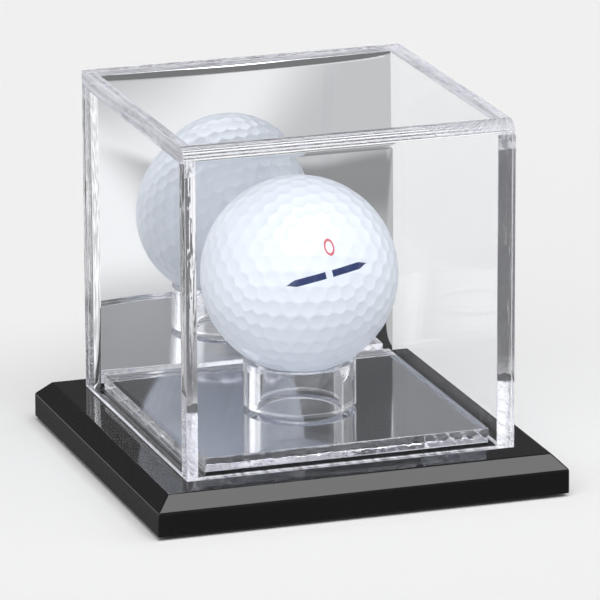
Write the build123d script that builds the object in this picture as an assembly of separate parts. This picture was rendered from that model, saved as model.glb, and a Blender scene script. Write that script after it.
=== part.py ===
from build123d import *
import os
from math import sqrt

# Golf ball display case, in millimetres.
# +Z is up and the front, which faces away from the mirror, looks along -Y.
# The origin is the middle of the base, on the surface that the feet stand on.
# The ball sets the size of what holds it: ring, floor, cover and base follow from it.

# Ball: a moulded cover over a solid core.
BALL_DIAMETER = 42.67
BALL_COVER_THICKNESS = 1.6
CORE_CLEARANCE = 0.05

# Ring that carries the ball: a length of clear tube with a seat turned in its top.
RING_DIAMETER = 24.5
RING_WALL = 3.0
RING_HEIGHT = 10.0
SEAT_LAND = 1.65
SEAT_GAP = 0.3

# Floor inside the cover: a clear plate on a thin mirror, which keeps the cover in place.
FLOOR_PLATE_THICKNESS = 3.0
FLOOR_MIRROR_THICKNESS = 1.0
FLOOR_SIDE_CLEARANCE = 1.7
FLOOR_END_CLEARANCE = 0.7

# Lift-off cover: one bent sheet for front and top, two sides, a back and its mirror.
SHEET_THICKNESS = 3.2
BEND_OUTER_RADIUS = 3.6
BEND_INNER_RADIUS = 0.5
BACK_MIRROR_THICKNESS = 2.0
SIDE_ROOM = 12.07
END_ROOM = 11.07
HEAD_ROOM = 14.5

# Thickness of a glue line, and the play under the loose cover.
GLUE_LINE = 0.05
COVER_PLAY = 0.1

# Base: a thick slab with a wide bevel round its top.
BASE_THICKNESS = 8.4
BASE_LEDGE = 6.05
BASE_BEVEL = 3.1
BASE_EDGE_ROUND = 0.3

# Feet: four thin round pads.
FOOT_DIAMETER = 9.0
FOOT_HEIGHT = 0.8
FOOT_INSET = 4.0

# Plan of the cover and of the base.
ball_radius = BALL_DIAMETER / 2
cover_width = BALL_DIAMETER + 2 * (SIDE_ROOM + SHEET_THICKNESS)
back_stack = GLUE_LINE + BACK_MIRROR_THICKNESS
cover_depth = BALL_DIAMETER + 2 * (END_ROOM + SHEET_THICKNESS) + back_stack
base_margin = BASE_LEDGE + BASE_BEVEL
base_width = cover_width + 2 * base_margin
base_depth = cover_depth + 2 * base_margin

cover_left = -cover_width / 2
cover_right = cover_width / 2
inner_left = cover_left + SHEET_THICKNESS
inner_right = cover_right - SHEET_THICKNESS
cover_front = -cover_depth / 2
cover_back = cover_depth / 2
inner_front = cover_front + SHEET_THICKNESS
inner_back = cover_back - SHEET_THICKNESS
mirror_face = inner_back - back_stack
ball_y = (inner_front + mirror_face) / 2

# Levels, from the surface upwards.
base_bottom = FOOT_HEIGHT
base_top = base_bottom + BASE_THICKNESS
floor_mirror_bottom = base_top + GLUE_LINE
floor_mirror_top = floor_mirror_bottom + FLOOR_MIRROR_THICKNESS
plate_bottom = floor_mirror_top + GLUE_LINE
plate_top = plate_bottom + FLOOR_PLATE_THICKNESS
ring_bottom = plate_top + GLUE_LINE
ring_top = ring_bottom + RING_HEIGHT
ring_bore_radius = RING_DIAMETER / 2 - RING_WALL
seat_sphere_radius = ball_radius + SEAT_GAP
seat_rim_radius = ring_bore_radius + SEAT_LAND
ball_z = ring_top + sqrt(seat_sphere_radius**2 - seat_rim_radius**2)
cover_bottom = base_top + COVER_PLAY
inner_top = ball_z + ball_radius + HEAD_ROOM
cover_top = inner_top + SHEET_THICKNESS


def block(x, y, z):
    """A box between the low and high value given for each axis."""
    size = [high - low for low, high in (x, y, z)]
    middle = [(high + low) / 2 for low, high in (x, y, z)]
    return Pos(*middle) * Box(*size)


def tube(radius, bottom, top):
    """A cylinder that stands on the middle of the floor, under the ball."""
    return Pos(0, ball_y, (bottom + top) / 2) * Cylinder(radius, top - bottom)


def make_base_plate():
    """The slab, bevelled round the top, with every edge polished slightly round."""
    half_width = base_width / 2
    half_depth = base_depth / 2
    slab = block((-half_width, half_width), (-half_depth, half_depth), (base_bottom, base_top))
    top_edges = slab.faces().sort_by(Axis.Z)[-1].edges()
    slab = chamfer(top_edges, BASE_BEVEL)
    return fillet(slab.edges(), BASE_EDGE_ROUND)


def make_feet():
    """Four pads on the underside, each one in from its corner."""
    reach_x = base_width / 2 - FOOT_INSET - FOOT_DIAMETER / 2
    reach_y = base_depth / 2 - FOOT_INSET - FOOT_DIAMETER / 2
    pad = Cylinder(FOOT_DIAMETER / 2, FOOT_HEIGHT)
    feet = {}
    for end, y in (("front", -reach_y), ("back", reach_y)):
        for side, x in (("left", -reach_x), ("right", reach_x)):
            feet["foot_" + end + "_" + side] = Pos(x, y, FOOT_HEIGHT / 2) * pad
    return feet


def make_floor_sheet(bottom, top):
    """A sheet that fills the cover's plan, less the clearance to its walls and mirror."""
    x = (inner_left + FLOOR_SIDE_CLEARANCE, inner_right - FLOOR_SIDE_CLEARANCE)
    y = (inner_front + FLOOR_END_CLEARANCE, mirror_face - FLOOR_END_CLEARANCE)
    return block(x, y, (bottom, top))


def make_stand_ring():
    """Clear tube whose top inner edge is turned to the curve of the ball."""
    ring = tube(RING_DIAMETER / 2, ring_bottom, ring_top)
    bore = tube(ring_bore_radius, ring_bottom, ring_top)
    seat = Pos(0, ball_y, ball_z) * Sphere(seat_sphere_radius)
    return ring - bore - seat


def make_ball():
    """The ball's moulded cover, which is hollow, and the core that fills it."""
    inner_radius = ball_radius - BALL_COVER_THICKNESS
    centre = Pos(0, ball_y, ball_z)
    ball_cover = centre * (Sphere(ball_radius) - Sphere(inner_radius))
    ball_core = centre * Sphere(inner_radius - CORE_CLEARANCE)
    return {"ball_cover": ball_cover, "ball_core": ball_core}


def make_front_top_panel():
    """One sheet, bent along the front top edge, as wide as the whole cover."""
    outline = [
        (cover_front, cover_bottom),
        (cover_front, cover_top),
        (cover_back, cover_top),
        (cover_back, inner_top),
        (inner_front, inner_top),
        (inner_front, cover_bottom),
    ]
    profile = Plane.YZ * Polygon(*outline, align=None)
    bend = {(cover_front, cover_top): BEND_OUTER_RADIUS, (inner_front, inner_top): BEND_INNER_RADIUS}
    for (y, z), radius in bend.items():
        corner = profile.vertices().sort_by_distance((0, y, z))[0]
        profile = fillet(corner, radius)
    return extrude(profile, amount=cover_width / 2, both=True)


def make_side_panel(x):
    """A side sheet from the bent front to the back, rounded where it fits into the bend."""
    front = inner_front + GLUE_LINE
    top = inner_top - GLUE_LINE
    panel = block(x, (front, cover_back), (cover_bottom, top))
    corner = panel.edges().filter_by(Axis.X).sort_by_distance((x[0], front, top))[0]
    return fillet(corner, BEND_INNER_RADIUS - GLUE_LINE)


def make_back_sheet(y):
    """A sheet that fits between the side panels and under the top."""
    x = (inner_left + GLUE_LINE, inner_right - GLUE_LINE)
    return block(x, y, (cover_bottom, inner_top - GLUE_LINE))


parts = {
    "base_plate": make_base_plate(),
    **make_feet(),
    "floor_mirror": make_floor_sheet(floor_mirror_bottom, floor_mirror_top),
    "floor_plate": make_floor_sheet(plate_bottom, plate_top),
    "stand_ring": make_stand_ring(),
    **make_ball(),
    "front_top_panel": make_front_top_panel(),
    "left_panel": make_side_panel((cover_left, inner_left)),
    "right_panel": make_side_panel((inner_right, cover_right)),
    "back_panel": make_back_sheet((inner_back, cover_back)),
    "back_mirror": make_back_sheet((mirror_face, inner_back - GLUE_LINE)),
}

os.makedirs("parts", exist_ok=True)
for name, shape in parts.items():
    export_step(shape, "parts/" + name + ".step")

print("base", round(base_width, 2), "x", round(base_depth, 2), "x", BASE_THICKNESS)
print("cover", round(cover_width, 2), "x", round(cover_depth, 2), "x", round(cover_top - cover_bottom, 2))
print("inside: x", round(inner_left, 3), round(inner_right, 3), "y", round(inner_front, 3), round(mirror_face, 3))
print("levels: base", base_top, "plate", round(plate_top, 3), "ring", round(ring_top, 3))
print("ball centre y", round(ball_y, 3), "z", round(ball_z, 3), "inner top", round(inner_top, 3))
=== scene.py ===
# %% [markdown]
# # A golf ball display case
# The case is a clear cover that lifts off a bevelled black base. Inside it a golf ball sits in a short
# clear ring on a mirrored floor, and a second mirror closes the back. The solid parts are already
# made, at their real size, so the script starts by loading them. Everything below is in metres, and
# each new piece takes its size from the solid that it stands for.

import math

import bmesh
import bpy
from mathutils import Matrix, Vector
from mathutils.kdtree import KDTree


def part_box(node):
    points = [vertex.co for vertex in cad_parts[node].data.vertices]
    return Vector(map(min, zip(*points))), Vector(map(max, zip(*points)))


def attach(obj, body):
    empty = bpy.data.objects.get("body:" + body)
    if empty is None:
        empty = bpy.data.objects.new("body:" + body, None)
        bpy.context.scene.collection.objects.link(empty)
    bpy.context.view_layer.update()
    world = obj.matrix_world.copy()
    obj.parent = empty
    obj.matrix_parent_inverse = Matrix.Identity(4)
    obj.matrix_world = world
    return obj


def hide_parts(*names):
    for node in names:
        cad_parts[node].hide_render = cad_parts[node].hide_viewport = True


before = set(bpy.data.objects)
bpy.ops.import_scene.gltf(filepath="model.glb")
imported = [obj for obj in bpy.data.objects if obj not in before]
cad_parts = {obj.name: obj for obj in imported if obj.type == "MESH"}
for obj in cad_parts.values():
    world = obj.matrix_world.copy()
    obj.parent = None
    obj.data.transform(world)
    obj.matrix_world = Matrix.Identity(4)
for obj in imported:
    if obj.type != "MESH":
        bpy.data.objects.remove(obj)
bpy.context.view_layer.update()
MM = 0.001

# %% [markdown]
# ## The camera
# The picture looks down on the case from the front left, through a long lens, so its upright edges
# stay nearly parallel. A camera is easier to place by its bearing, its height angle and its distance
# than by coordinates. It looks a few millimetres past the middle of the case, which frames it with
# the base low in the picture and needs no lens shift.

# %% Place the camera
CAMERA_BEARING = math.radians(-18.61)
CAMERA_HEIGHT_ANGLE = math.radians(15.86)
CAMERA_ROLL = math.radians(-0.23)
CAMERA_DISTANCE = 1309.8 * MM
CASE_MIDDLE = Vector((0, 0, 40.8 * MM))
LOOK_RIGHT = 0.86 * MM
LOOK_BELOW = 5.05 * MM
SENSOR_WIDTH = 36
LENS = 364.9
NEAREST_SEEN = 0.1

towards_camera = Vector((
    math.sin(CAMERA_BEARING) * math.cos(CAMERA_HEIGHT_ANGLE),
    -math.cos(CAMERA_BEARING) * math.cos(CAMERA_HEIGHT_ANGLE),
    math.sin(CAMERA_HEIGHT_ANGLE),
))
picture_right = Vector((math.cos(CAMERA_BEARING), math.sin(CAMERA_BEARING), 0))
picture_up = towards_camera.cross(picture_right)

camera = bpy.data.objects.new("camera", bpy.data.cameras.new("camera"))
bpy.context.scene.collection.objects.link(camera)
camera.location = CASE_MIDDLE + towards_camera * CAMERA_DISTANCE
look_at = CASE_MIDDLE + picture_right * LOOK_RIGHT - picture_up * LOOK_BELOW
aim = (look_at - camera.location).to_track_quat("-Z", "Y")
camera.rotation_mode = "QUATERNION"
camera.rotation_quaternion = aim @ Matrix.Rotation(CAMERA_ROLL, 3, "Z").to_quaternion()
camera.data.sensor_width = SENSOR_WIDTH
camera.data.lens = LENS
camera.data.clip_start = NEAREST_SEEN
bpy.context.scene.camera = camera
print("camera at", [round(v, 4) for v in camera.location])

# %% [markdown]
# ## Shader maths as Python
# A procedural material is arithmetic on positions. Wrapping a node's output in a small class lets
# that arithmetic be written as it is read: each operator adds the Math node it names. Every other
# node comes from one method, which sets the node up before it fills its inputs.
#
# The class also sorts rays by what they have met, which the Light Path node tells. Clear plastic and
# mirrors show the room around them, and each of them can then be shown a room of its own. A ray that
# is sharp, or singular, comes from a surface with no roughness at all, which here is only plastic.

# %% A socket that does arithmetic
class Socket:
    """An output of a node tree. Operators on it add Math nodes."""

    def __init__(self, tree, output=None):
        self.tree = tree
        self.output = output

    def node(self, kind, settings=None, inputs=None, output=0):
        """Adds a node of this kind and returns one of its outputs."""
        made = self.tree.nodes.new(kind)
        for name, value in (settings or {}).items():
            setattr(made, name, value)
        for name, value in (inputs or {}).items():
            if isinstance(value, Socket):
                self.tree.links.new(value.output, made.inputs[name])
            else:
                made.inputs[name].default_value = value
        return Socket(self.tree, made.outputs[output] if made.outputs else None)

    def math(self, operation, *values):
        """A Math node on these values."""
        return self.node("ShaderNodeMath", {"operation": operation}, dict(enumerate(values)))

    def __add__(self, other):
        return self.math("ADD", self, other)

    def __sub__(self, other):
        return self.math("SUBTRACT", self, other)

    def __rsub__(self, other):
        return self.math("SUBTRACT", other, self)

    def __mul__(self, other):
        return self.math("MULTIPLY", self, other)

    def __truediv__(self, other):
        return self.math("DIVIDE", self, other)

    def __pow__(self, other):
        return self.math("POWER", self, other)

    def __abs__(self):
        return self.math("ABSOLUTE", self)

    __radd__ = __add__
    __rmul__ = __mul__

    def either(self, other):
        """The larger of two masks."""
        return self.math("MAXIMUM", self, other)

    def ramp(self, start, end):
        """0 before start and 1 after end, with a soft change between them."""
        return self.node("ShaderNodeMapRange", {"interpolation_type": "SMOOTHSTEP"},
                         {"Value": self, "From Min": start, "From Max": end})

    def between(self, low, high):
        """A number that goes from low to high as this value goes from 0 to 1."""
        return low + self * (high - low)

    def blend(self, low, high):
        """A colour that goes from low to high as this value goes from 0 to 1."""
        return self.node("ShaderNodeMix", {"data_type": "RGBA"}, {0: self, 6: low, 7: high}, 2)

    def mix(self, first, second):
        """A shader that goes from the first to the second as this value goes from 0 to 1."""
        return self.node("ShaderNodeMixShader", {}, {0: self, 1: first, 2: second})

    def dot(self, direction):
        """How far this vector reaches along a fixed direction."""
        return self.node("ShaderNodeVectorMath", {"operation": "DOT_PRODUCT"}, {0: self, 1: direction}, 1)

    def place(self):
        """Where a point lies on its own piece."""
        return self.node("ShaderNodeTexCoord", output="Object")

    def noise(self, scale, detail=2.0, stretch=(1, 1, 1)):
        """Smooth random values around 0.5, about scale to the metre."""
        spread = self.node("ShaderNodeMapping", {}, {"Vector": self.place(), "Scale": stretch})
        return self.node("ShaderNodeTexNoise", {}, {"Vector": spread, "Scale": scale, "Detail": detail})

    def bump(self, height, distance):
        """A normal that is tilted as a surface of this height, in metres, would be."""
        return self.node("ShaderNodeBump", {}, {"Height": height, "Distance": distance}, "Normal")

    def light_path(self, name):
        """What the Light Path node tells of the ray."""
        return self.node("ShaderNodeLightPath", output=name)

    def seen_straight(self):
        """1 for what the camera sees directly or straight through clear plastic."""
        looked = self.light_path("Is Camera Ray").either(self.light_path("Is Transmission Ray"))
        return looked * self.math("LESS_THAN", self.light_path("Glossy Depth"), 0.5)

    def seen_inside_edges(self):
        """1 for what a ray sees that bounced on its way, and last of all came out of clear plastic."""
        bounced = self.math("GREATER_THAN", self.light_path("Glossy Depth"), 0.5)
        return self.light_path("Is Transmission Ray") * bounced

    def seen_on_plastic(self):
        """1 for what the flat face of clear plastic reflects."""
        bounced = self.light_path("Is Glossy Ray") * (1 - self.light_path("Is Transmission Ray"))
        return bounced * self.light_path("Is Singular Ray")

    def seen_on_gloss(self):
        """1 for what silver and black gloss reflect."""
        return self.light_path("Is Glossy Ray") * (1 - self.light_path("Is Singular Ray"))

    def surface(self, shader):
        """Makes this shader the surface of the material."""
        self.node("ShaderNodeOutputMaterial", {}, {"Surface": shader})


print("sockets add, multiply and blend")

# %% [markdown]
# Materials start empty, so that each one holds only the nodes that its finish needs. Colours are
# written as they would be measured on the real thing, from 0 for black to 1 for white.

# %% Start a material
AXES = {"x": (1, 0, 0), "y": (0, 1, 0), "z": (0, 0, 1)}
WHITE = (1.0, 1.0, 1.0, 1.0)


def new_material(name):
    """An empty material and the start of its node tree."""
    material = bpy.data.materials.new(name)
    material.use_nodes = True
    material.node_tree.nodes.clear()
    return material, Socket(material.node_tree)


print("axes:", ", ".join(AXES))

# %% [markdown]
# ## The studio
# Clear plastic, mirrors and black gloss show little of their own: they show the room. The room here
# is the world shader, a dim grey studio with soft boxes in it. Lamps could stand round the case
# instead, but the world lies infinitely far away, so it lights the whole floor evenly. A box is a
# soft-edged window in the directions around one direction.

# %% Hang the soft boxes
STUDIO_GREY = 0.13
SOFT_BOXES = {
    "overhead": {"towards": (0.02, -0.45, 0.88), "half_width": 0.42, "half_height": 0.36, "light": 3.85},
    "front_left": {"towards": (-0.66, -0.55, 0.50), "half_width": 0.50, "half_height": 0.36, "light": 1.6},
    "right": {"towards": (0.93, -0.16, 0.42), "half_width": 0.40, "half_height": 0.36, "light": 0.95},
}
BOX_EDGE = 0.08

world = bpy.data.worlds.new("studio")
world.use_nodes = True
world.node_tree.nodes.clear()
bpy.context.scene.world = world
sky = Socket(world.node_tree)
direction = sky.node("ShaderNodeTexCoord", output="Generated")


def soft_box(towards, half_width, half_height, light):
    """The light of one soft box, by direction."""
    middle = Vector(towards).normalized()
    side = middle.cross(Vector(AXES["z"])).normalized()
    up = side.cross(middle)
    ahead = direction.dot(middle)
    across = abs(direction.dot(side) / ahead).ramp(half_width + BOX_EDGE, half_width)
    along = abs(direction.dot(up) / ahead).ramp(half_height + BOX_EDGE, half_height)
    return across * along * ahead.math("GREATER_THAN", ahead, 0.0) * light


soft_boxes = sum(soft_box(**box) for box in SOFT_BOXES.values())
print("soft boxes:", ", ".join(SOFT_BOXES))

# %% [markdown]
# The boxes light the case, and gloss and silver reflect them. Rays from the camera, and those that
# clear plastic lets straight through to the horizon, meet a plain pale backdrop instead. The faces of
# the plastic reflect that backdrop with the boxes faintly in it. Light that ran along inside the
# plastic's edges shows the most: high up a mottled ceiling, which gives the edges their light and
# dark streaks, and lower down a wall that is bright on the left and dim on the right.

# %% Show each kind of ray its own room
BACKDROP = 0.877
BOX_GLINT = 0.5
CEILING_DARK = 0.60
CEILING_PALE = 1.60
MOTTLE_SCALE = 7.0
MOTTLE_EDGE = (0.35, 0.65)
CEILING_FROM = (0.30, 0.42)
WALL_LEFT = 1.15
WALL_DROPS = [(-0.08, 0.0, 0.60), (0.05, 0.22, 0.22)]

mottle = sky.node("ShaderNodeTexNoise", {}, {"Vector": direction, "Scale": MOTTLE_SCALE, "Detail": 1.0})
ceiling = mottle.ramp(*MOTTLE_EDGE).between(CEILING_DARK, CEILING_PALE)
wall = WALL_LEFT
for first, last, drop in WALL_DROPS:
    wall = wall - direction.dot(AXES["x"]).ramp(first, last) * drop
clutter = direction.dot(AXES["z"]).ramp(*CEILING_FROM).between(wall, ceiling)
straight = sky.seen_straight()
on_plastic = sky.seen_on_plastic()
inside_edges = sky.seen_inside_edges()
others = (1 - straight) * (1 - on_plastic) * (1 - inside_edges)
brightness = others * (STUDIO_GREY + soft_boxes)
brightness = brightness + straight * BACKDROP
brightness = brightness + on_plastic * (BACKDROP + soft_boxes * BOX_GLINT)
brightness = brightness + inside_edges * (clutter + soft_boxes * BOX_GLINT)
background = sky.node("ShaderNodeBackground", {}, {"Color": WHITE, "Strength": brightness})
sky.node("ShaderNodeOutputWorld", {}, {"Surface": background})
print("world nodes:", len(world.node_tree.nodes))

# %% [markdown]
# ## The floor
# The case stands on a plain pale table. It is one large flat sheet, so that mirrors never see past
# its edge, and it keeps the soft shadow of the base. It isn't part of the object.

# %% Lay the floor
FLOOR_REACH = 12.0
FLOOR_COLOUR = (0.86, 0.86, 0.86, 1)

mesh = bpy.data.meshes.new("floor")
bm = bmesh.new()
bmesh.ops.create_grid(bm, x_segments=1, y_segments=1, size=FLOOR_REACH)
bm.to_mesh(mesh)
bm.free()
floor = bpy.data.objects.new("floor", mesh)
bpy.context.scene.collection.objects.link(floor)
table, start = new_material("pale_table")
matt = start.node("ShaderNodeBsdfDiffuse", {}, {"Color": FLOOR_COLOUR})
mesh.materials.append(table)
print("floor", 2 * FLOOR_REACH, "m across")

# %% [markdown]
# A photographer lays cards round a mirror to choose what it shows. Here the cards are painted
# reflections: the table glows with them, and only silver and black gloss see that glow. A pale card
# on the left fills the left part of the back mirror, with painted shade towards the case. In front
# lies a card that turns from grey to pale and back to grey along a slanting line, and nearer to the
# case a darker one. Close round the base, and behind it, painted shade darkens them all in place of
# the base's shadow, so that the base's own sides stay black.

# %% Lay out the painted reflections that silver and gloss see
right = start.place().dot(AXES["x"])
back = start.place().dot(AXES["y"])

CARD_SLANT = 0.35
SLANT_START = 400 * MM
FAR_GREY = 0.54
FAR_RISE = 0.42
FAR_RISE_FROM = (-45 * MM, 25 * MM)
FAR_FALL = 0.38
FAR_FALL_FROM = (48 * MM, 125 * MM)
slant = right + (back + SLANT_START) * CARD_SLANT
far_card = FAR_GREY + slant.ramp(*FAR_RISE_FROM) * FAR_RISE - slant.ramp(*FAR_FALL_FROM) * FAR_FALL

NEAR_GREY = 0.50
NEAR_FALL = 0.21
NEAR_FALL_FROM = (90 * MM, 135 * MM)
NEAR_RISE = 0.22
NEAR_RISE_FROM = (-190 * MM, -110 * MM)
NEAR_SKEW = 0.78
NEAR_FROM = (-403 * MM, -350 * MM)
near_card = NEAR_GREY - slant.ramp(*NEAR_FALL_FROM) * NEAR_FALL + back.ramp(*NEAR_RISE_FROM) * NEAR_RISE
front_card = (back - right * NEAR_SKEW).ramp(*NEAR_FROM).between(far_card, near_card)

LEFT_PALE = 1.02
LEFT_SHADE = 0.15
LEFT_SHADE_MORE = 0.35
LEFT_SHADE_FROM = (-140 * MM, -50 * MM)
LEFT_MORE_FROM = (-58 * MM, -34 * MM)
FRONT_CARD_FROM = (-12 * MM, 14 * MM)
shade = back.ramp(*LEFT_SHADE_FROM) * (LEFT_SHADE + right.ramp(*LEFT_MORE_FROM) * LEFT_SHADE_MORE)
card = right.ramp(*FRONT_CARD_FROM).between(LEFT_PALE - shade, front_card)

# Painted shade: close round the base, and behind it, the reflected cards are darkened in place of the base's
# shadow on the table.
BESIDE_BASE_SHADE = 0.8
BESIDE_LEFT = (-64 * MM, -58 * MM)
BESIDE_FRONT = (-70 * MM, -64 * MM)
BESIDE_RIGHT = (50 * MM, 60 * MM)
painted_shade_beside_base = right.ramp(*BESIDE_LEFT) * back.ramp(*BESIDE_FRONT) * (1 - right.ramp(*BESIDE_RIGHT))
card = card * (1 - painted_shade_beside_base * BESIDE_BASE_SHADE)
print("the front card slants by", round(math.degrees(math.atan(CARD_SLANT)), 1), "degrees")

# %% [markdown]
# The faces of clear plastic are shown a painted reflection: the plain table in front of the case and
# a dark area behind it. Inside the plastic's edges the table shows as painted light and dark spots.
# Behind the case it shows as one painted dark area that is pale only on the far left, and that gives
# the upright edges their deep lines.

# %% Choose what clear plastic sees of the table
FLOOR_PALE = FLOOR_COLOUR[0]
BEHIND_DARK = 0.10
BEHIND_FROM = (-60 * MM, -20 * MM)
SPOT_SCALE = 28
SPOT_EDGE = (0.42, 0.58)
SPOT_DARK = 0.70
SPOT_PALE = 1.20
FAR_BACK_FROM = (50 * MM, 90 * MM)
FAR_BACK_SHADE = 0.92
FAR_BACK_SHADE_FROM = (-80 * MM, -45 * MM)

# Painted reflection: pale in front and dark behind, only for what the faces and edges of clear plastic see.
on_faces = back.ramp(*BEHIND_FROM).between(FLOOR_PALE, BEHIND_DARK)
spots = start.noise(SPOT_SCALE, 1.0).ramp(*SPOT_EDGE).between(SPOT_DARK, SPOT_PALE)
far_shade = 1 - right.ramp(*FAR_BACK_SHADE_FROM) * FAR_BACK_SHADE
in_edges = back.ramp(*FAR_BACK_FROM).between(spots, far_shade)
on_gloss = start.seen_on_gloss()
on_plastic = start.seen_on_plastic()
inside_edges = start.seen_inside_edges()
strength = on_gloss * card + on_plastic * on_faces + inside_edges * in_edges
# Painted reflections: the table glows with all of this, but only for rays that gloss, silver or plastic
# reflect, or that ran inside plastic edges.
painted_reflections = start.node("ShaderNodeEmission", {}, {"Strength": strength})
start.surface((on_gloss + on_plastic + inside_edges).mix(matt, painted_reflections))
print("table nodes:", len(table.node_tree.nodes))

# %% [markdown]
# ## Turning a bmesh into a piece
# Each piece is shaped in a bmesh with Blender's own operators. One function then makes it an object,
# smooths it, lets the large flat faces decide the shading at their borders, and hands it to the body
# that it moves with.

# %% Make a piece from a bmesh
LARGE_FACES_DECIDE = 100
SHARP_ANGLE = math.radians(30)


def make_piece(name, bm, material, body, replaces):
    """An object at the origin, with its place in its mesh, that rides on a body."""
    mesh = bpy.data.meshes.new(name)
    for face in bm.faces:
        face.smooth = True
    bm.to_mesh(mesh)
    bm.free()
    mesh.materials.append(material)
    piece = bpy.data.objects.new(name, mesh)
    bpy.context.scene.collection.objects.link(piece)
    even = piece.modifiers.new("even_normals", "WEIGHTED_NORMAL")
    even.weight = LARGE_FACES_DECIDE
    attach(piece, body)
    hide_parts(*replaces)
    print(name, "has", len(mesh.polygons), "faces")
    return piece


def block(low, high):
    """A bmesh box between two corners."""
    bm = bmesh.new()
    bmesh.ops.create_cube(bm, size=1)
    bmesh.ops.scale(bm, vec=high - low, verts=bm.verts)
    bmesh.ops.translate(bm, vec=(high + low) / 2, verts=bm.verts)
    return bm


def round_edges(bm, edges, radius, segments):
    """Rounds these edges, or cuts them back flat with one segment."""
    bmesh.ops.bevel(bm, geom=edges, offset=radius, offset_type="OFFSET", affect="EDGES", segments=segments,
                    profile=0.5, material=-1, clamp_overlap=True)


def sharp_edges(bm):
    """The edges where two faces meet at an angle that shows."""
    return [e for e in bm.edges if len(e.link_faces) == 2 and e.calc_face_angle() > SHARP_ANGLE]


print("an edge is sharp from", round(math.degrees(SHARP_ANGLE)), "degrees")

# %% [markdown]
# ## Clear acrylic
# Acrylic sheet is flat and clear on its faces. Its cut edges were sawn and polished: they are a little
# wavy and streaked, and that is where a clear box shows its outline. Cut faces could have a material
# slot of their own, but their thin rounded borders belong to both. So the material is told the planes
# that were cut, and makes a mask of them. The streaks run along each edge, upright on upright edges
# and sideways on level ones.

# %% Find the cut edges and streak them
CUT_REACH = 0.12 * MM
SHEET = 3.2 * MM
FOOT_LINE = 0.2 * MM
STREAK_START = 0.1 * MM
STREAK_SCALE = 800
STREAK_LENGTHS = {
    "upright": (1, 1, 0.05),
    "x": (0.05, 1, 1),
    "y": (1, 0.05, 1),
}
BLOTCH_SCALE = 260
BLOTCH_SHARE = 0.25
STREAK_EDGE = (0.38, 0.62)


def cut_mask(start, cuts):
    """1 on the cut faces, which are given as an axis, a place on it and the side that is outside."""
    place = start.place()
    masks = 0
    for axis, at, outside in cuts:
        masks = masks + ((place.dot(AXES[axis]) - at) * outside).ramp(-2 * CUT_REACH, -CUT_REACH)
    return masks.math("MINIMUM", masks, 1.0)


def edge_streaks(start, level, top, foot):
    """Saw and polish lines, 0 to 1, and a mask of the level edges, whose lines run along one axis."""
    height = start.place().dot(AXES["z"])
    at_top = height.ramp(top - SHEET - STREAK_START, top - SHEET)
    at_foot = height.ramp(foot + FOOT_LINE + STREAK_START, foot + FOOT_LINE)
    on_level = at_top.either(at_foot)
    upright = start.noise(STREAK_SCALE, stretch=STREAK_LENGTHS["upright"])
    lying = start.noise(STREAK_SCALE, stretch=STREAK_LENGTHS[level])
    lines = on_level.between(upright, lying) * (1 - BLOTCH_SHARE)
    blotches = start.noise(BLOTCH_SCALE) * BLOTCH_SHARE
    return (lines + blotches).ramp(*STREAK_EDGE), on_level


print("streaks:", STREAK_SCALE, "to the metre")

# %% [markdown]
# On a flat face the sheet refracts, and reflects a part of what bare acrylic would, because little is
# seen on the faces of the real one. Inside the sheet the whole of the light still turns back at a flat
# angle. A cut edge is wavy glass with a streaked tint and a thin frost, which is stronger on level
# edges. Lamps and soft light shine straight through, because a path tracer finds the light behind real
# glass very slowly. The bent sheet and the right side are also left out of what the mirrors show,
# because next to nothing of them is seen there on the real case.

# %% A clear acrylic material
ACRYLIC_BENDING = 1.49
FACE_TINT = (0.995, 0.997, 1.0, 1)
FACE_SHINE = 0.25
TURNED_BACK = 0.999
STREAK_DARK = (0.80, 0.80, 0.87, 1)
WAVE_SCALE = 420
WAVE_SHARE = 0.22
STREAK_SHARE = 0.10
WAVE_HEIGHT = 0.22 * MM
FROST_TINT = (0.88, 0.88, 0.95, 1)
FROST_EVERYWHERE = 0.05
FROST_LEVEL = 0.12
FROST_LEVEL_STREAKS = 0.38
OPEN_TINT = (0.985, 0.99, 0.995, 1)


def acrylic_face(start):
    """The clear flat face: it bends light, and reflects more the flatter it is seen."""
    clear = start.node("ShaderNodeBsdfRefraction", {}, {
        "Color": FACE_TINT, "Roughness": 0.0, "IOR": ACRYLIC_BENDING})
    shiny = start.node("ShaderNodeBsdfGlossy", {}, {"Color": WHITE, "Roughness": 0.0})
    share = start.node("ShaderNodeFresnel", {}, {"IOR": ACRYLIC_BENDING})
    share = share.math("GREATER_THAN", share, TURNED_BACK).either(share * FACE_SHINE)
    return share.mix(clear, shiny)


def acrylic_edge(start, mask, streaks, on_level, wave, frost):
    """The cut edge: wavy, streaked and thinly frosted."""
    waves = start.noise(WAVE_SCALE, 1.0) * WAVE_SHARE + streaks * STREAK_SHARE
    plastic = start.node("ShaderNodeBsdfPrincipled", {}, {
        "Base Color": streaks.blend(STREAK_DARK, WHITE), "Roughness": 0.0, "IOR": ACRYLIC_BENDING,
        "Transmission Weight": 1.0, "Normal": start.bump(waves * mask, wave)})
    dull = start.node("ShaderNodeBsdfDiffuse", {}, {"Color": FROST_TINT})
    frosted = FROST_EVERYWHERE + on_level * (FROST_LEVEL + streaks * FROST_LEVEL_STREAKS)
    return (frosted * frost).mix(plastic, dull)


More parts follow.
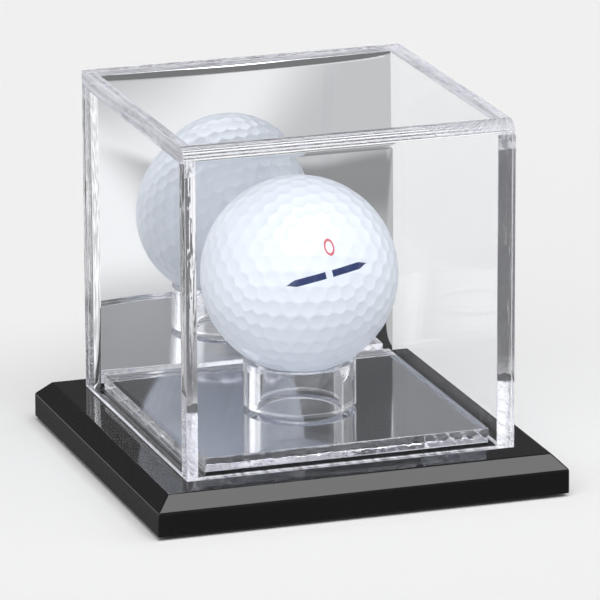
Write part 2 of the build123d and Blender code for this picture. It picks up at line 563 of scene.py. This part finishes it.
def clear_acrylic(name, cuts, top, foot, level="y", in_mirror=True, wave=WAVE_HEIGHT, frost=1.0):
    """Clear sheet with wavy, streaked edges on the cut planes."""
    material, start = new_material(name)
    mask = cut_mask(start, cuts)
    streaks, on_level = edge_streaks(start, level, top, foot)
    edge = acrylic_edge(start, mask, streaks, on_level, wave, frost)
    sheet = mask.mix(acrylic_face(start), edge)
    passing = start.light_path("Is Shadow Ray").either(start.light_path("Is Diffuse Ray"))
    if not in_mirror:
        passing = passing.either(start.seen_on_gloss())
    open_air = start.node("ShaderNodeBsdfTransparent", {}, {"Color": OPEN_TINT})
    start.surface(passing.mix(sheet, open_air))
    return material


print("acrylic bends light by", ACRYLIC_BENDING)

# %% [markdown]
# ## The black base
# The base is a thick slab of black acrylic with a wide bevel round its top, flame polished so that
# every edge catches a thin line of light. A box with its four top edges cut back makes the bevel, and
# a second, much smaller rounding of every edge makes the highlights.

# %% Shape the base
BASE_BEVEL = 3.1 * MM
BASE_EDGE_ROUND = 0.3 * MM
BASE_EDGE_STEPS = 4

base_low, base_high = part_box("base_plate")
base = block(base_low, base_high)
top_edges = [e for e in base.edges if all(v.co.z > base_high.z - MM for v in e.verts)]
round_edges(base, top_edges, BASE_BEVEL, 1)
round_edges(base, sharp_edges(base), BASE_EDGE_ROUND, BASE_EDGE_STEPS)
print("the base is", round((base_high.x - base_low.x) / MM, 2), "mm wide")

# %% [markdown]
# Black acrylic is almost as smooth as glass, but never quite: wiping leaves it duller in patches, and
# a few dust specks lie in its surface. Both are noise at two very different sizes.

# %% Finish the base
RUB_SCALE = 260
RUB_EDGE = (0.45, 0.75)
SPECK_SCALE = 5200
SPECK_EDGE = (0.74, 0.80)
BLACK = (0.0075, 0.0075, 0.0080, 1)
SPECK = (0.03, 0.03, 0.03, 1)
GLOSS_ROUGHNESS = 0.035
RUBBED_ROUGHNESS = 0.03
GLOSS_BENDING = 1.5

black, start = new_material("black_acrylic")
rubbed = start.noise(RUB_SCALE, 4.0).ramp(*RUB_EDGE)
specks = start.noise(SPECK_SCALE, 1.0).ramp(*SPECK_EDGE)
start.surface(start.node("ShaderNodeBsdfPrincipled", {}, {
    "Base Color": specks.blend(BLACK, SPECK),
    "Roughness": GLOSS_ROUGHNESS + rubbed * RUBBED_ROUGHNESS,
    "IOR": GLOSS_BENDING}))
make_piece("base_slab", base, black, "base", ["base_plate"])

# %% [markdown]
# ## Feet and core
# The four pads under the base, and the core inside the ball, keep their solid shapes. They only need
# a finish: soft rubber with a fine grain, and the dull moulded rubber of a ball's core.

# %% Finish the pads and the core
GRAIN_HEIGHT = 0.05 * MM
GRAIN_EDGE = (0.3, 0.7)
RUBBER_ROUGHNESS = 0.7
GRAIN_ROUGHNESS = 0.25


def matt_rubber(name, dark, light, grain):
    """Dull rubber whose colour and surface vary with a fine grain, so many specks to the metre."""
    material, start = new_material(name)
    speckle = start.noise(grain, 3.0)
    start.surface(start.node("ShaderNodeBsdfPrincipled", {}, {
        "Base Color": speckle.ramp(*GRAIN_EDGE).blend(dark, light),
        "Roughness": RUBBER_ROUGHNESS + speckle * GRAIN_ROUGHNESS,
        "Normal": start.bump(speckle, GRAIN_HEIGHT)}))
    return material


pad_rubber = matt_rubber("pad_rubber", dark=(0.02, 0.02, 0.021, 1), light=(0.05, 0.05, 0.052, 1), grain=4000)
core_rubber = matt_rubber("core_rubber", dark=(0.60, 0.22, 0.06, 1), light=(0.75, 0.32, 0.10, 1), grain=1500)
finishes = {name: pad_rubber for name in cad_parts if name.startswith("foot_")}
finishes["ball_core"] = core_rubber
for name, rubber in finishes.items():
    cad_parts[name].data.materials.clear()
    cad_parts[name].data.materials.append(rubber)
print("finished:", ", ".join(finishes))

# %% [markdown]
# ## Mirror sheet
# Mirror sheet is acrylic with a silvered face and grey paint behind it. Silver is a metal with a
# little haze in it. The material turns from silver to paint a short way before the sheet's back.

# %% A mirror material
PAINT_GREY = (0.16, 0.165, 0.17, 1)
PAINT_ROUGHNESS = 0.5
PAINT_START = 0.06 * MM
PAINT_FULL = 0.03 * MM
SILVER_ROUGHNESS = 0.008
HAZE_SCALE = 90


def mirror_sheet(name, axis, back, behind, tint, haze_most, lean=None):
    """Silver, with grey paint on the plane at back, which faces the side called behind."""
    material, start = new_material(name)
    depth = (start.place().dot(AXES[axis]) - back) * behind
    painted = depth.ramp(-PAINT_START, -PAINT_FULL)
    haze = start.noise(HAZE_SCALE, 4.0)
    silver = start.node("ShaderNodeBsdfPrincipled", {}, {
        "Base Color": painted.blend(tint, PAINT_GREY),
        "Metallic": 1 - painted,
        "Roughness": SILVER_ROUGHNESS + haze * haze_most + painted * PAINT_ROUGHNESS})
    if lean:
        start.tree.links.new(lean(start).output, silver.output.node.inputs["Normal"])
    start.surface(silver)
    return material


print("mirror sheets are silver in front and grey behind")

# %% [markdown]
# ## The floor inside
# Under the ball lies a thin mirror, and on it a clear plate that keeps the cover in place. The plate's
# cut edges are the bright wavy lines just inside the cover. On the real case this mirror shows the
# ring and the ball darker and softer than the one at the back does, so its silver is greyer and has
# more haze.

# %% Shape the floor mirror and the clear plate
ARRIS = 0.12 * MM
MIRROR_ARRIS = 0.08 * MM
ARRIS_STEPS = 2
FLOOR_SILVER = (0.57, 0.57, 0.60, 1)
FLOOR_HAZE = 0.14
PLATE_WAVE = 0.05 * MM
PLATE_FROST = 0.15


def ends(low, high, axes):
    """The pairs of cut planes across these axes of a box."""
    planes = []
    for axis in axes:
        number = "xyz".index(axis)
        planes += [(axis, low[number], -1), (axis, high[number], 1)]
    return planes


def make_sheet(name, node, axes, body, **look):
    """A flat clear sheet in the place of a node, cut across these axes."""
    low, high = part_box(node)
    bm = block(low, high)
    round_edges(bm, sharp_edges(bm), ARRIS, ARRIS_STEPS)
    material = clear_acrylic(name + "_acrylic", ends(low, high, axes), high.z, low.z, **look)
    return make_piece(name, bm, material, body, [node])


low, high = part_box("floor_mirror")
bm = block(low, high)
round_edges(bm, sharp_edges(bm), MIRROR_ARRIS, ARRIS_STEPS)
floor_silver = mirror_sheet("floor_silver", "z", low.z, -1, FLOOR_SILVER, FLOOR_HAZE)
make_piece("floor_mirror_sheet", bm, floor_silver, "base", ["floor_mirror"])
make_sheet("clear_floor_plate", "floor_plate", "xy", "base", wave=PLATE_WAVE, frost=PLATE_FROST)

# %% [markdown]
# ## The ring
# The ball sits in a short length of clear tube, whose top inner edge is turned to the curve of the
# ball. It could be a cylinder with a ball cut out of it, but a ring is quicker drawn as one slice and
# spun round the ball's upright axis, which also leaves its faces even.

# %% Shape the ring
RING_STEPS = 180
SEAT_STEPS = 6
RING_WALL = 3.0 * MM
SEAT_LAND = 1.65 * MM
SEAT_GAP = 0.3 * MM

ring_low, ring_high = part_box("stand_ring")
ball_low, ball_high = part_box("ball_cover")
ball_centre = (ball_low + ball_high) / 2
ball_radius = (ball_high.z - ball_low.z) / 2
ring_radius = (ring_high.x - ring_low.x) / 2
bore_radius = ring_radius - RING_WALL
seat_radius = ball_radius + SEAT_GAP
ring = bmesh.new()
outline = [(bore_radius, ring_low.z), (ring_radius, ring_low.z), (ring_radius, ring_high.z)]
for step in range(SEAT_STEPS + 1):
    out = bore_radius + SEAT_LAND * (1 - step / SEAT_STEPS)
    outline.append((out, ball_centre.z - math.sqrt(seat_radius**2 - out**2)))
corners = [ring.verts.new((ball_centre.x + out, ball_centre.y, height)) for out, height in outline]
slice_edges = [ring.edges.new(pair) for pair in zip(corners, corners[1:] + corners[:1])]
bmesh.ops.spin(ring, geom=corners + slice_edges, cent=ball_centre, axis=(0, 0, 1), dvec=(0, 0, 0),
               angle=math.tau, steps=RING_STEPS, use_merge=True, use_duplicate=False)
bmesh.ops.remove_doubles(ring, verts=ring.verts, dist=0.001 * MM)
bmesh.ops.recalc_face_normals(ring, faces=ring.faces)
round_edges(ring, sharp_edges(ring), ARRIS, ARRIS_STEPS)
print("the ring is", round(2 * ring_radius / MM, 2), "mm across")

# %% [markdown]
# Drawing the tube left fine upright lines in its walls, which run as streaks of light down the ring.
# Turning the seat left marks round its top. Both are a very shallow bump on clear plastic.

# %% Finish the ring
DRAWN_SCALE = 900
DRAWN_LENGTH = (1, 1, 0.02)
DRAWN_HEIGHT = 0.35
TURNED_SCALE = 1800
TURNED_LENGTH = (0.3, 0.3, 1)
TURNED_BELOW_TOP = (1.1 * MM, 0.9 * MM)
TURNED_TINT = (0.9, 0.91, 0.95, 1)
RING_MARK_HEIGHT = 0.02 * MM
RING_OPEN_TINT = (0.97, 0.975, 0.98, 1)

ring_acrylic, start = new_material("ring_acrylic")
drawn = start.noise(DRAWN_SCALE, stretch=DRAWN_LENGTH)
turned = start.place().dot(AXES["z"]).ramp(*(ring_high.z - depth for depth in TURNED_BELOW_TOP))
marks = start.noise(TURNED_SCALE, stretch=TURNED_LENGTH)
height = drawn * (1 - turned) * DRAWN_HEIGHT + marks * turned
plastic = start.node("ShaderNodeBsdfPrincipled", {}, {
    "Base Color": turned.blend(FACE_TINT, TURNED_TINT), "Roughness": 0.0, "IOR": ACRYLIC_BENDING,
    "Transmission Weight": 1.0, "Normal": start.bump(height, RING_MARK_HEIGHT)})
open_air = start.node("ShaderNodeBsdfTransparent", {}, {"Color": RING_OPEN_TINT})
passing = start.light_path("Is Shadow Ray").either(start.light_path("Is Diffuse Ray"))
start.surface(passing.mix(plastic, open_air))
make_piece("ball_ring", ring, ring_acrylic, "base", ["stand_ring"])

# %% [markdown]
# ## The ball
# A golf ball is covered in shallow round dimples laid out on the triangles of an icosahedron. Cutting
# each edge of an icosahedron into seven gives 492 evenly spaced points, which are the middles of the
# dimples. One face of the icosahedron is turned to the camera with an edge level, because there the
# dimples run in level rows.

# %% Lay out the dimples
DIMPLE_PARTS = 7


def geodesic(radius, parts):
    """An icosahedron with each edge cut into equal parts, puffed out to a ball round the origin."""
    bm = bmesh.new()
    bmesh.ops.create_icosphere(bm, subdivisions=1, radius=radius)
    bmesh.ops.subdivide_edges(bm, edges=bm.edges, cuts=parts - 1, use_grid_fill=True)
    for vertex in bm.verts:
        vertex.co = vertex.co.normalized() * radius
    return bm


def face_to_camera(bm):
    """The turn that brings one icosahedron face square to the camera, with an edge level."""
    bm.faces.ensure_lookup_table()
    face = bm.faces[0]
    out = face.calc_center_median().normalized()
    along = (face.verts[1].co - face.verts[0].co).normalized()
    own = Matrix((along, out.cross(along), out)).transposed()
    wanted = Matrix((picture_right, picture_up, towards_camera)).transposed()
    return wanted @ own.transposed()


icosahedron = bmesh.new()
bmesh.ops.create_icosphere(icosahedron, subdivisions=1, radius=1)
ball_turn = face_to_camera(icosahedron)
icosahedron.free()

layout = geodesic(ball_radius, DIMPLE_PARTS)
middles = KDTree(len(layout.verts))
for number, vertex in enumerate(layout.verts):
    middles.insert(vertex.co, number)
middles.balance()
print("dimples:", len(layout.verts))
layout.free()

# %% [markdown]
# Dimples could be a bump in the material, but they show at the ball's outline, so they are pressed
# into the mesh. Cutting the icosahedron much finer gives a smooth ball, and each of its points near a
# middle moves inwards. The moulded cover is hollow, so a second, coarser ball faces inwards inside it.

# %% Press the dimples
BALL_PARTS = 94
DIMPLE_RADIUS = 1.60 * MM
DIMPLE_DEPTH = 0.20 * MM
DIMPLE_ROUNDNESS = 0.7
COVER_THICKNESS = 1.6 * MM
INNER_PARTS = 14

ball = geodesic(ball_radius, BALL_PARTS)
for vertex in ball.verts:
    away = middles.find(vertex.co)[2] / DIMPLE_RADIUS
    if away < 1:
        vertex.co *= 1 - DIMPLE_DEPTH / ball_radius * (1 - away**2) ** DIMPLE_ROUNDNESS
inside = geodesic(ball_radius - COVER_THICKNESS, INNER_PARTS)
bmesh.ops.reverse_faces(inside, faces=inside.faces)
inner_mesh = bpy.data.meshes.new("inner_wall")
inside.to_mesh(inner_mesh)
inside.free()
ball.from_mesh(inner_mesh)
bpy.data.meshes.remove(inner_mesh)
bmesh.ops.rotate(ball, cent=(0, 0, 0), matrix=ball_turn, verts=ball.verts)
bmesh.ops.translate(ball, vec=ball_centre, verts=ball.verts)
print("the ball is", round(2 * ball_radius / MM, 2), "mm across")

# %% [markdown]
# The ball carries two plain printed marks: a thin red nought, and a navy line with a gap in it that a
# player lines up. A picture could be wrapped round the ball, but two such simple shapes are easier
# drawn by the material, on the plane that touches the ball where they are printed.

# %% Draw the printed marks
PRINT_RIGHT = 0.30
NOUGHT_UP = 0.263
LINE_UP = -0.01
PRINT_TILT = math.radians(15)
PRINT_DEPTH = 0.1
NOUGHT_HALF = (0.92 * MM, 1.62 * MM)
PRINT_STROKE = 0.36 * MM
STROKE_EDGE = (1.15, 0.85)
LINE_HALF = (9.6 * MM, 0.75 * MM)
LINE_TAPER = 0.72
LINE_END = 0.99
LINE_SOFTNESS = 0.03 * MM
LINE_GAP = (0.7 * MM, 0.76 * MM)


def print_plane(start, right, up):
    """Two coordinates on the plane that touches the ball at this place, and a mask of its side."""
    out = picture_right * right + picture_up * up + towards_camera * math.sqrt(1 - right**2 - up**2)
    level = (picture_right - out * picture_right.dot(out)).normalized()
    along = Matrix.Rotation(PRINT_TILT, 3, out) @ level
    upright = out.cross(along)
    place = start.place()
    across = place.dot(along) - ball_centre.dot(along)
    upwards = place.dot(upright) - ball_centre.dot(upright)
    near = (place.dot(out) - ball_centre.dot(out)).ramp(0, ball_radius * PRINT_DEPTH)
    return across, upwards, near


def draw_nought(start):
    """A thin upright oval, as a mask."""
    across, upwards, near = print_plane(start, PRINT_RIGHT, NOUGHT_UP)
    oval = ((across / NOUGHT_HALF[0]) ** 2 + (upwards / NOUGHT_HALF[1]) ** 2) ** 0.5
    stroke = PRINT_STROKE / 2 / NOUGHT_HALF[0]
    return abs(oval - 1).ramp(*(stroke * edge for edge in STROKE_EDGE)) * near


def draw_line(start):
    """A line that tapers at both ends, with a gap in its middle, as a mask."""
    across, upwards, near = print_plane(start, PRINT_RIGHT, LINE_UP)
    half_length, half_width = LINE_HALF
    away = abs(across)
    taper = away.ramp(half_length, half_length * LINE_TAPER)
    line = (abs(upwards) - half_width * taper).ramp(LINE_SOFTNESS, -LINE_SOFTNESS) * near
    return line * away.ramp(half_length, half_length * LINE_END) * away.ramp(*LINE_GAP)


white, start = new_material("ball_white")
nought = draw_nought(start)
line = draw_line(start)
print("the line is", round(2 * LINE_HALF[0] / MM, 1), "mm long")

# %% [markdown]
# The ball's paint is white with a blue cast, a little cloudy, under a thin clear lacquer. The paint
# is dull enough to keep highlights broad, and the lacquer adds fainter, sharper ones.

# %% Paint the ball
CLOUD_SCALE = 120
PAINT_DARK = (0.80, 0.85, 0.94, 1)
PAINT_PALE = (0.835, 0.885, 0.96, 1)
RED_INK = (0.62, 0.10, 0.13, 1)
NAVY_INK = (0.012, 0.03, 0.13, 1)
BALL_ROUGHNESS = 0.38
CLOUD_ROUGHNESS = 0.06
BALL_BENDING = 1.5
LACQUER = 0.25
LACQUER_ROUGHNESS = 0.16

cloud = start.noise(CLOUD_SCALE, 3.0)
paint = cloud.blend(PAINT_DARK, PAINT_PALE)
start.surface(start.node("ShaderNodeBsdfPrincipled", {}, {
    "Base Color": line.blend(nought.blend(paint, RED_INK), NAVY_INK),
    "Roughness": BALL_ROUGHNESS + cloud * CLOUD_ROUGHNESS,
    "IOR": BALL_BENDING, "Coat Weight": LACQUER, "Coat Roughness": LACQUER_ROUGHNESS}))
make_piece("dimpled_ball", ball, white, "ball", ["ball_cover"])

# %% [markdown]
# ## The cover
# One sheet is bent over the front top edge, and two sides and a back are cemented to it. The bend is
# the one round edge of the box. An L is drawn, pulled out to the width of the cover, and rounded where
# it turns.

# %% Shape the bent sheet
BEND_OUTER = 3.6 * MM
BEND_OUTER_STEPS = 32
BEND_INNER = 0.5 * MM
BEND_INNER_STEPS = 10
NEAR_ENOUGH = 0.01 * MM


def edge_along_x(bm, y, z):
    """The edge that runs from side to side at this place."""
    def is_there(vertex):
        return abs(vertex.co.y - y) < NEAR_ENOUGH and abs(vertex.co.z - z) < NEAR_ENOUGH
    return [e for e in bm.edges if all(is_there(v) for v in e.verts)]


def new_points(made):
    """The vertices among what an operator made."""
    return [item for item in made["geom"] if isinstance(item, bmesh.types.BMVert)]


low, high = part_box("front_top_panel")
bent = bmesh.new()
outline = [(low.y, low.z), (low.y, high.z), (high.y, high.z), (high.y, high.z - SHEET),
           (low.y + SHEET, high.z - SHEET), (low.y + SHEET, low.z)]
ell = bent.faces.new([bent.verts.new((low.x, y, z)) for y, z in outline])
pulled = bmesh.ops.extrude_face_region(bent, geom=[ell])
bmesh.ops.translate(bent, vec=(high.x - low.x, 0, 0), verts=new_points(pulled))
bmesh.ops.recalc_face_normals(bent, faces=bent.faces)
round_edges(bent, edge_along_x(bent, low.y, high.z), BEND_OUTER, BEND_OUTER_STEPS)
inner_edge = edge_along_x(bent, low.y + SHEET, high.z - SHEET)
round_edges(bent, inner_edge, BEND_INNER, BEND_INNER_STEPS)
round_edges(bent, sharp_edges(bent), ARRIS, ARRIS_STEPS)
cuts = ends(low, high, "x") + [("z", low.z, -1), ("y", high.y, 1)]
bent_acrylic = clear_acrylic("bent_acrylic", cuts, high.z, low.z, in_mirror=False)
make_piece("bent_front_and_top", bent, bent_acrylic, "cover", ["front_top_panel"])

# %% [markdown]
# The other sheets are plain cut blanks, so each is a block with its sharp corners taken off. The two
# sides are cut at the front, back, top and foot. The back is cut at its sides, top and foot, and its
# level streaks run from side to side.

# %% Add the flat sheets of the cover
make_sheet("left_side", "left_panel", "yz", "cover")
make_sheet("right_side", "right_panel", "yz", "cover", in_mirror=False)
make_sheet("clear_back", "back_panel", "xz", "cover", level="x")

# %% [markdown]
# ## The mirrored back
# The back mirror is thin sheet, held at its edges, and its silver bows towards the ball, so that its
# rim lies one to two millimetres behind its middle. That makes the ball's reflection smaller than the
# ball. A dome alone would turn too far at the rim, so beyond its reach it runs out into a cone. The
# front of a block is cut into a grid, and its points are eased back.

# %% Shape the back mirror
BOW_RADIUS = 500 * MM
BOW_REACH = 24 * MM
BOW_TOP = Vector((-3 * MM, 43 * MM))
BOW_CUTS = 40


def bow(x, z):
    """How far the silver lies behind its foremost point: a dome that runs out into a cone."""
    away = (Vector((x, z)) - BOW_TOP).length
    dome = min(away, BOW_REACH)
    return dome**2 / (2 * BOW_RADIUS) + dome / BOW_RADIUS * (away - dome)


low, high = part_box("back_mirror")
middle = (low + high) / 2
half = (high - low) / 2
bowed = bmesh.new()
bmesh.ops.create_grid(bowed, x_segments=BOW_CUTS, y_segments=BOW_CUTS, size=1)
bmesh.ops.scale(bowed, vec=(half.x, half.z, 1), verts=bowed.verts)
bmesh.ops.rotate(bowed, cent=(0, 0, 0), matrix=Matrix.Rotation(math.pi / 2, 3, "X"), verts=bowed.verts)
bmesh.ops.translate(bowed, vec=(middle.x, high.y, middle.z), verts=bowed.verts)
front = bmesh.ops.extrude_face_region(bowed, geom=bowed.faces[:], use_keep_orig=True)
for vertex in new_points(front):
    vertex.co.y = low.y + bow(vertex.co.x, vertex.co.z)
bmesh.ops.recalc_face_normals(bowed, faces=bowed.faces)
print("the rim lies up to", round(bow(high.x, high.z) / MM, 2), "mm behind the middle")

# %% [markdown]
# The reflection also sits a little to one side of where a straight sheet would show it. The whole
# silver could be turned, but there is no room for that between the sheets. So its normal leans
# instead, a few degrees sideways and slightly downwards, and further downwards at the foot.

# %% Lean the silver
BACK_SILVER = (0.94, 0.945, 0.955, 1)
BACK_HAZE = 0.012
LEAN = 0.07
DROOP = 0.022
FOOT_LEAN = 0.035
FOOT_REACH = 34 * MM


def silver_lean(start):
    """The way the silver faces: it leans to one side, and downwards at its foot."""
    flat = start.node("ShaderNodeNewGeometry", output="Normal")
    below = low.z + FOOT_REACH - start.place().dot(AXES["z"])
    foot = below.either(0.0) / FOOT_REACH * FOOT_LEAN
    tilt = start.node("ShaderNodeCombineXYZ", {}, {"X": -LEAN, "Z": DROOP + foot})
    leaning = start.node("ShaderNodeVectorMath", {"operation": "ADD"}, {0: flat, 1: tilt})
    return start.node("ShaderNodeVectorMath", {"operation": "NORMALIZE"}, {0: leaning})


back_silver = mirror_sheet("back_silver", "y", high.y, 1, BACK_SILVER, BACK_HAZE, silver_lean)
make_piece("bowed_back_mirror", bowed, back_silver, "cover", ["back_mirror"])

# %% [markdown]
# ## Finish
# Light goes through many sheets and bounces inside their edges before it leaves, so the scene allows
# long light paths.

# %% Finish the scene
MOST_BOUNCES = 32
MOST_REFLECTIONS = 24

scene = bpy.context.scene
scene.view_settings.view_transform = "Standard"
scene.cycles.max_bounces = MOST_BOUNCES
scene.cycles.transmission_bounces = MOST_BOUNCES
scene.cycles.glossy_bounces = MOST_REFLECTIONS
scene.cycles.transparent_max_bounces = MOST_BOUNCES
